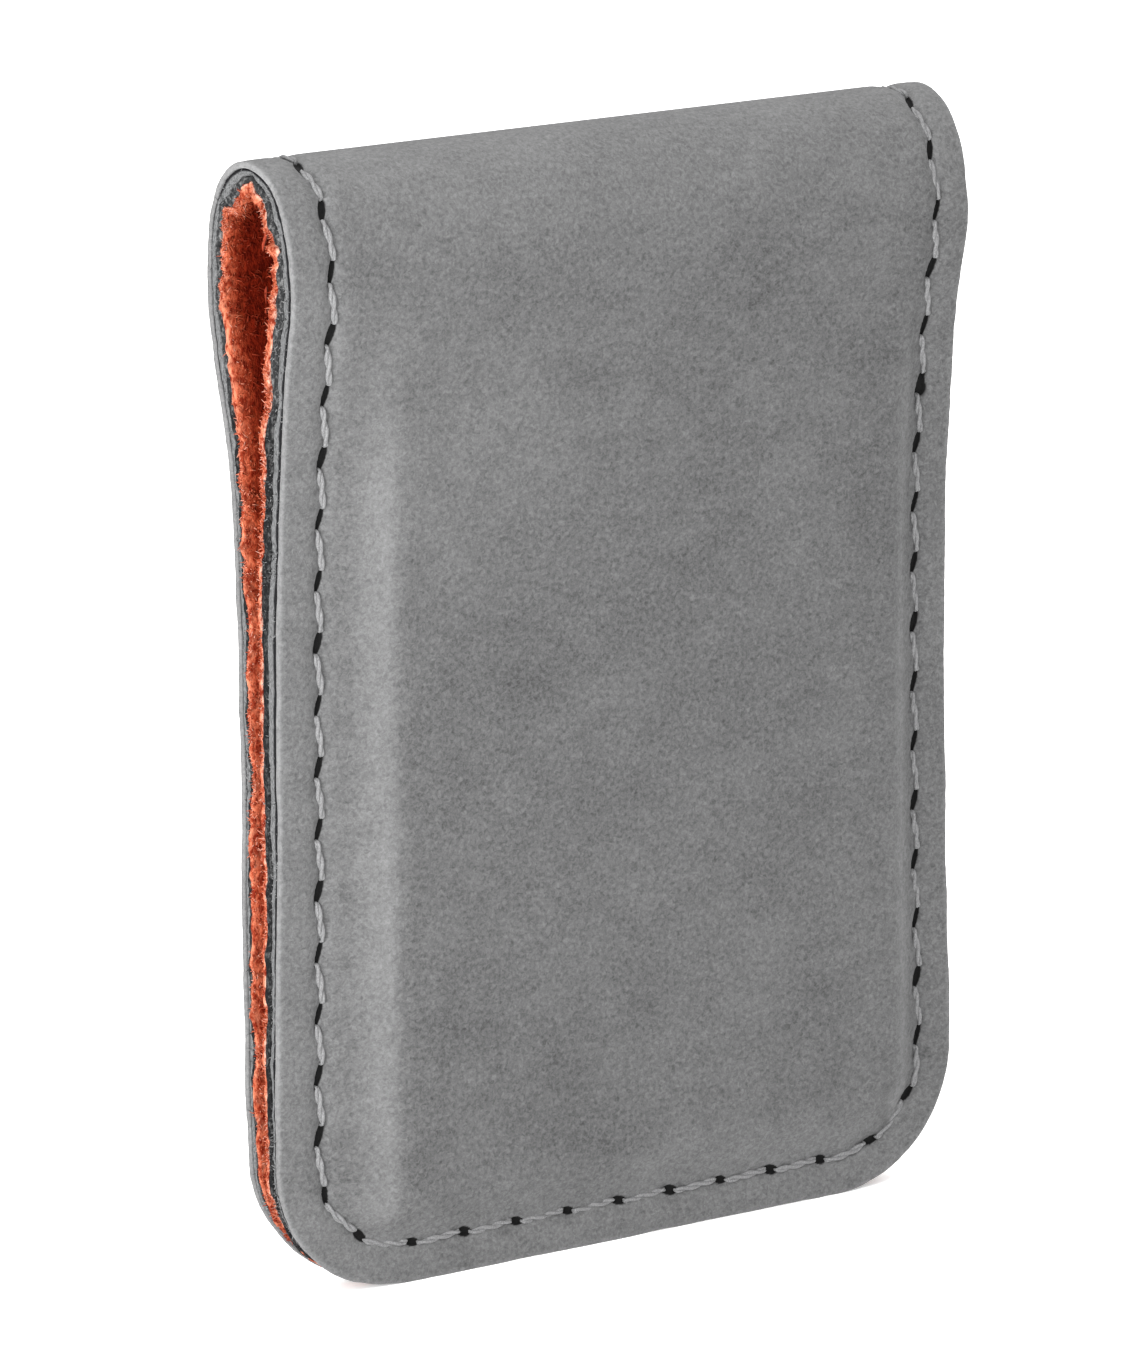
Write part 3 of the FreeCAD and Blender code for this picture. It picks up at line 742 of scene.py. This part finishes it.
class Shader:
    """A small helper for building node trees."""

    def __init__(self, name):
        self.material = bpy.data.materials.new(name)
        self.material.use_nodes = True
        self.nodes = self.material.node_tree.nodes
        self.links = self.material.node_tree.links
        self.surface = self.nodes["Principled BSDF"]

    def add(self, kind, **inputs):
        """A new node with some of its inputs set. An underscore stands for the space in an input's name."""
        node = self.nodes.new(kind)
        for key, value in inputs.items():
            self.put(node, key.replace("_", " "), value)
        return node

    def put(self, node, socket, value):
        """Links a socket to an input, or sets the input to a constant."""
        if isinstance(value, bpy.types.NodeSocket):
            self.links.new(value, node.inputs[socket])
        else:
            node.inputs[socket].default_value = value

    def values(self, name):
        """One of the numbers kept for every point."""
        node = self.nodes.new("ShaderNodeAttribute")
        node.attribute_name = name
        return node.outputs["Fac"]

    def flat(self, scale=(1, 1, 1), turn=0.0):
        """The flat strip's own coordinates in millimetres."""
        node = self.nodes.new("ShaderNodeAttribute")
        node.attribute_name = "flat"
        mapping = self.add("ShaderNodeMapping", Vector=node.outputs["Vector"], Scale=scale)
        mapping.inputs["Rotation"].default_value = (0, 0, turn)
        return mapping.outputs["Vector"]

    def noise(self, vector, scale, detail=2.0, roughness=0.5, distortion=0.0):
        """Cloudy noise between 0 and 1."""
        node = self.add("ShaderNodeTexNoise", Vector=vector, Scale=scale, Detail=detail, Roughness=roughness,
                        Distortion=distortion)
        return node.outputs["Fac"]

    def spread(self, value, low, high, out_low=0.0, out_high=1.0):
        """Maps low to out_low and high to out_high, and holds there beyond them."""
        node = self.nodes.new("ShaderNodeMapRange")
        for socket, number in zip((1, 2, 3, 4), (low, high, out_low, out_high)):
            node.inputs[socket].default_value = number
        self.links.new(value, node.inputs[0])
        return node.outputs[0]

    def math(self, operation, a, b):
        """One step of arithmetic on sockets or constants."""
        node = self.nodes.new("ShaderNodeMath")
        node.operation = operation
        self.put(node, 0, a)
        self.put(node, 1, b)
        return node.outputs[0]

    def mix(self, share, a, b):
        """A colour between a, where share is 0, and b, where it is 1."""
        node = self.nodes.new("ShaderNodeMix")
        node.data_type = "RGBA"
        self.put(node, 0, share)
        for socket, value in ((6, a), (7, b)):
            self.put(node, socket, value if isinstance(value, bpy.types.NodeSocket) else (*value, 1.0))
        return node.outputs[2]

    def bump(self, height, distance, strength=1.0):
        """Gives the surface a fine relief."""
        node = self.add("ShaderNodeBump", Height=height, Distance=distance, Strength=strength)
        self.put(self.surface, "Normal", node.outputs["Normal"])

    def finish(self, colour, roughness, **constants):
        """Sets the surface and returns the material."""
        self.put(self.surface, "Base Color", colour)
        self.put(self.surface, "Roughness", roughness)
        for key, value in constants.items():
            self.put(self.surface, key.replace("_", " "), value)
        return self.material


def leatherette():
    """Grey suede-touch leatherette: fine speckle, soft clouds, brushed streaks, and paler bevels and margins
    as painted highlights and painted light.
    """
    m = Shader("grey_leatherette")
    speckle = m.noise(m.flat(), 4.5, 2.0, 0.65, 0.9)
    fleck = m.noise(m.flat((0.85, 1.0, 1.0), 0.7), 3.3, 2.0, 0.6, 0.6)
    brushed = m.noise(m.flat((0.6, 1.0, 1.0), -0.5), 0.8, 3.0, 0.6)
    cloud = m.noise(m.flat(), 0.14, 3.0, 0.55)
    tone = m.math("ADD", m.spread(speckle, 0.3, 0.7, -0.45, 0.26), m.spread(fleck, 0.3, 0.7, -0.20, 0.20))
    tone = m.math("ADD", tone, m.spread(brushed, 0.3, 0.7, -0.10, 0.10))
    tone = m.math("ADD", tone, m.spread(cloud, 0.3, 0.7, -0.11, 0.11))
    # Painted highlights and painted light from the pale values
    tone = m.math("ADD", tone, m.spread(m.values("pale"), 0, 1.5, 0.0, 0.825))
    # The cut edge is paler: partly edge wear, partly a painted highlight where the rounded edge catches the
    # light
    tone = m.math("ADD", tone, m.spread(m.values("edge"), 0, 1, 0.0, 0.42))
    colour = m.mix(m.spread(tone, -0.9, 1.2), (0.019, 0.019, 0.0195), (0.187, 0.187, 0.188))
    # Painted shade: the slots' floors are painted nearly black, as the shade inside the holes
    colour = m.mix(m.spread(m.values("hole"), 0.05, 0.4), colour, (0.003, 0.003, 0.003))
    grain = m.math("ADD", m.spread(m.noise(m.flat(), 5.5, 4.0, 0.65), 0, 1), m.spread(fleck, 0, 1, 0, 0.5))
    m.bump(grain, 0.035 * MM, 0.8)
    return m.finish(colour, m.spread(speckle, 0.3, 0.7, 0.8, 0.95), Sheen_Weight=0.06, Sheen_Roughness=0.5,
                    Specular_IOR_Level=0.12)


def grey_backing():
    """Grey knit with a dark line where it meets the cover: partly adhesive, partly painted shade of the
    crevice.
    """
    m = Shader("grey_backing")
    fibre = m.noise(m.flat((1.0, 1.0, 3.0)), 4.5, 4.0, 0.7)
    colour = m.mix(m.spread(fibre, 0.3, 0.7), (0.040, 0.041, 0.042), (0.200, 0.202, 0.204))
    # Dark line at the face that meets the cover: partly adhesive, partly painted shade of the crevice between
    # the layers
    glue_and_shade = m.spread(m.values("through"), 0.25, 0.40)
    colour = m.mix(glue_and_shade, (0.010, 0.010, 0.011), colour)
    m.bump(fibre, 0.10 * MM, 0.9)
    return m.finish(colour, 1.0, Specular_IOR_Level=0.05)


def dark_interlining():
    """Nearly black felt with pale flecks, paler round the loop where its cut edge is frayed."""
    m = Shader("dark_interlining")
    fibre = m.noise(m.flat((1.0, 1.0, 2.0)), 4.0, 5.0, 0.75)
    fleck = m.spread(m.noise(m.flat((1.0, 0.8, 1.0), 0.9), 2.8, 4.0, 0.7), 0.50, 0.68)
    dark = m.mix(m.spread(fibre, 0.3, 0.75), (0.004, 0.004, 0.0045), (0.022, 0.0225, 0.023))
    dark = m.mix(fleck, dark, (0.075, 0.075, 0.075))
    frayed = m.mix(m.spread(fibre, 0.3, 0.75), (0.006, 0.006, 0.0065), (0.050, 0.051, 0.052))
    frayed = m.mix(fleck, frayed, (0.17, 0.17, 0.17))
    colour = m.mix(m.spread(m.values("loop"), 0.6, 1.0), dark, frayed)
    m.bump(fibre, 0.14 * MM, 1.0)
    return m.finish(colour, 1.0, Specular_IOR_Level=0.02)


def orange_suede():
    """Napped lining: pale abraded fibres at the cut edge, and further in a dark red painted shade, darkest
    inside the loop.
    """
    m = Shader("orange_suede")
    nap = m.noise(m.flat((1.0, 0.6, 1.0)), 3.2, 4.0, 0.7)
    patch = m.noise(m.flat(), 1.3, 3.0, 0.6, 0.5)
    colour = m.mix(m.spread(nap, 0.35, 0.65), (0.12, 0.006, 0.0015), (0.44, 0.075, 0.028))
    colour = m.mix(m.spread(patch, 0.46, 0.60, 0.0, 0.65), colour, (0.10, 0.005, 0.0015))
    pale = m.math("MULTIPLY", m.spread(nap, 0.42, 0.62, 0.05, 0.9), m.values("edge"))
    pale = m.math("MULTIPLY", pale, m.spread(m.values("through"), 0.5, 1.0, 1.0, 0.5))
    colour = m.mix(pale, colour, (0.50, 0.20, 0.12))
    scrim = m.math("MULTIPLY", m.spread(m.values("through"), 0.0, 0.3, 1.0, 0.0), m.spread(nap, 0.42, 0.62))
    colour = m.mix(m.math("MULTIPLY", scrim, m.values("edge")), colour, (0.52, 0.33, 0.27))
    # Painted shade: dark red away from the cut edge, most inside the loop
    shaded_ground = m.mix(m.spread(nap, 0.38, 0.62), (0.055, 0.003, 0.001), (0.135, 0.010, 0.003))
    colour = m.mix(m.spread(m.values("deep"), 0.1, 0.7), colour, shaded_ground)
    m.bump(nap, 0.20 * MM, 1.0)
    return m.finish(colour, 1.0, Specular_IOR_Level=0.03)


def suede_fibres():
    """Single fibres: orange with paler tips, a few of them nearly white, and painted shade that makes them
    dark red further in.
    """
    m = Shader("suede_fibres")
    shade, tip = m.values("shade"), m.values("tip")
    colour = m.mix(m.spread(shade, 0.0, 0.75), (0.20, 0.016, 0.005), (0.46, 0.12, 0.06))
    pale = m.math("MULTIPLY", m.spread(shade, 0.65, 0.95), m.spread(tip, 0.0, 1.0, 0.2, 0.7))
    pale = m.math("MULTIPLY", pale, m.spread(m.values("deep"), 0.0, 0.25, 1.0, 0.0))
    colour = m.mix(pale, colour, (0.56, 0.38, 0.32))
    # Painted shade: dark red further in, most inside the loop
    colour = m.mix(m.spread(m.values("deep"), 0.05, 0.6, 0.0, 0.9), colour, (0.12, 0.009, 0.003))
    return m.finish(colour, 1.0, Specular_IOR_Level=0.03)


def felt_fibres():
    """Stray fibres of the grey layers, from nearly black to pale."""
    m = Shader("felt_fibres")
    shade = m.values("shade")
    colour = m.mix(m.spread(shade, 0.2, 1.0), (0.030, 0.031, 0.032), (0.20, 0.20, 0.20))
    return m.finish(colour, 0.9, Sheen_Weight=0.1, Specular_IOR_Level=0.15)


def spun_thread(name, dark, pale, roughness, shine):
    """Thread with fine fibres along it, between a dark and a pale colour."""
    m = Shader(name)
    fibre = m.noise(m.flat((3.0, 1.0, 3.0), 0.5), 7.0, 3.0, 0.6)
    colour = m.mix(m.spread(fibre, 0.3, 0.7), dark, pale)
    m.bump(fibre, 0.03 * MM, 0.7)
    return m.finish(colour, roughness, Sheen_Weight=0.1, Specular_IOR_Level=shine)


def sewing_thread():
    """The light grey needle thread."""
    return spun_thread("grey_thread", (0.085, 0.085, 0.087), (0.225, 0.225, 0.227), 0.6, 0.3)


def lining_thread():
    """The bobbin thread, in the lining's orange."""
    return spun_thread("orange_thread", (0.22, 0.020, 0.007), (0.42, 0.060, 0.022), 0.7, 0.2)


def fibre_board():
    """Brown board with paler flecks."""
    m = Shader("fibre_board")
    coordinate = m.add("ShaderNodeTexCoord").outputs["Object"]
    fleck = m.noise(coordinate, 1400.0, 4.0, 0.6)
    colour = m.mix(m.spread(fleck, 0.3, 0.7), (0.17, 0.12, 0.08), (0.32, 0.25, 0.17))
    m.bump(fleck, 0.03 * MM, 0.6)
    return m.finish(colour, 0.9)


def nickel():
    """The magnets' brushed plating."""
    m = Shader("nickel_plate")
    coordinate = m.add("ShaderNodeTexCoord").outputs["Object"]
    brush = m.noise(coordinate, 900.0, 3.0, 0.6)
    return m.finish(m.mix(brush, (0.50, 0.49, 0.47), (0.66, 0.65, 0.63)), m.spread(brush, 0, 1, 0.2, 0.35),
                    Metallic=1.0)


def pale_floor():
    """Nearly white, and lit a little from below like a light table, which keeps the shadows faint."""
    m = Shader("pale_floor")
    coordinate = m.add("ShaderNodeTexCoord").outputs["Object"]
    tint = m.noise(coordinate, 30.0, 2.0, 0.5)
    return m.finish(m.mix(tint, (0.93, 0.93, 0.93), (0.95, 0.95, 0.95)), 0.9, Specular_IOR_Level=0.1,
                    Emission_Color=(1, 1, 1, 1), Emission_Strength=0.4)


# ---- studio ----

def make_floor():
    """A wide flat floor."""
    mesh = bpy.data.meshes.new("floor")
    corners = [(x * FLOOR_REACH, y * FLOOR_REACH, 0) for x, y in ((-1, -1), (1, -1), (1, 1), (-1, 1))]
    mesh.from_pydata(corners, [], [(0, 1, 2, 3)])
    mesh.materials.append(pale_floor())
    floor = bpy.data.objects.new("floor", mesh)
    bpy.context.scene.collection.objects.link(floor)


def make_world():
    """Even white light from all round, and plain colours with no film look."""
    world = bpy.data.worlds.new("studio")
    world.use_nodes = True
    world.node_tree.nodes["Background"].inputs["Color"].default_value = (1, 1, 1, 1)
    world.node_tree.nodes["Background"].inputs["Strength"].default_value = AMBIENT
    bpy.context.scene.world = world
    bpy.context.scene.view_settings.view_transform = "Standard"


def make_overhead():
    """A wide soft light from straight above, which keeps the floor white."""
    light = bpy.data.lights.new("overhead", "SUN")
    light.angle = SKY_SPREAD
    light.energy = SKY_POWER
    bpy.context.scene.collection.objects.link(bpy.data.objects.new("overhead", light))


def make_key():
    """A small soft lamp close to the open left edge, which the camera doesn't see."""
    light = bpy.data.lights.new("key", "AREA")
    light.shape = "DISK"
    light.size = KEY_SIZE
    light.energy = KEY_POWER
    lamp = bpy.data.objects.new("key", light)
    aim = Vector((0, 0, HEIGHT / 2))
    lamp.location = aim + Vector(KEY_FROM).normalized() * KEY_DISTANCE
    lamp.rotation_euler = (aim - lamp.location).to_track_quat("-Z", "Y").to_euler()
    lamp.visible_camera = False
    bpy.context.scene.collection.objects.link(lamp)


def make_camera():
    """A long lens, low and to the left of the front leaf."""
    level = math.cos(VIEW_ABOVE)
    back = Vector((-math.sin(VIEW_LEFT) * level, -math.cos(VIEW_LEFT) * level, math.sin(VIEW_ABOVE)))
    right = Vector((math.cos(VIEW_LEFT), -math.sin(VIEW_LEFT), 0))
    up = back.cross(right)
    turned_right = math.cos(VIEW_TILT) * right + math.sin(VIEW_TILT) * up
    turned_up = math.cos(VIEW_TILT) * up - math.sin(VIEW_TILT) * right
    camera = bpy.data.objects.new("camera", bpy.data.cameras.new("camera"))
    camera.data.sensor_fit = "VERTICAL"
    camera.data.sensor_height = SENSOR_HEIGHT
    camera.data.lens = LENS
    camera.data.shift_x, camera.data.shift_y = LENS_SHIFT
    camera.data.clip_end = 20.0
    axes = Matrix((turned_right, turned_up, back)).transposed().to_4x4()
    camera.matrix_world = Matrix.Translation(Vector((0, 0, VIEW_HEIGHT)) + VIEW_DISTANCE * back) @ axes
    bpy.context.scene.collection.objects.link(camera)
    bpy.context.scene.camera = camera


# ---- the whole clip ----

def finish_inserts():
    """The boards and magnets inside the leaves keep their CAD shape."""
    board, metal = fibre_board(), nickel()
    for name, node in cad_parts.items():
        if name.startswith(("insert_board", "magnet")):
            node.data.materials.clear()
            node.data.materials.append(board if name.startswith("insert") else metal)


def make_layers():
    """The three layers inside the cover."""
    make_layer("grey_backing", BACKING, grey_backing(), "backing", raggedness=0.07 * MM, recess=0.06 * MM,
               seed=21)
    make_layer("dark_interlining", INTERLINING, dark_interlining(), "interlining", raggedness=0.09 * MM,
               recess=0.03 * MM, seed=31)
    make_layer("suede_lining", LINING, orange_suede(), "lining", raggedness=0.14 * MM, recess=0.05 * MM,
               seed=41, push=lining_push)


def make_seam():
    """The needle thread on the outer face, and the bobbin thread on the lining."""
    make_threads("needle_thread", lambda s: 0 * s, sign=1, sink=0.12 * MM, material=sewing_thread(),
                 nodes=parts_of("needle_stitches"), strands=2, seed=51)
    make_threads("bobbin_thread", lambda s: -depth_at(LINING[1], s), sign=-1, sink=0.03 * MM,
                 material=lining_thread(), nodes=parts_of("bobbin_stitches"),
                 strands=1, seed=52)


def make_all_fibres():
    """The lining's fringe, the felts' fringe and the lining's nap."""
    fibres = suede_fibres()
    felts = (BACKING[0], INTERLINING[1])
    edge_fringe("lining_fringe", 13000, LINING, fibres, "lining", mean_length=0.07 * MM, lean_in=0.3, seed=5)
    edge_fringe("felt_fringe", 6000, felts, felt_fibres(), "interlining", mean_length=0.06 * MM, lean_in=0.0,
                seed=15)
    inner_nap(fibres)


def main():
    """Builds the whole scene."""
    make_cover(leatherette())
    make_layers()
    make_seam()
    make_all_fibres()
    finish_inserts()
    make_floor()
    make_world()
    make_overhead()
    make_key()
    make_camera()


main()
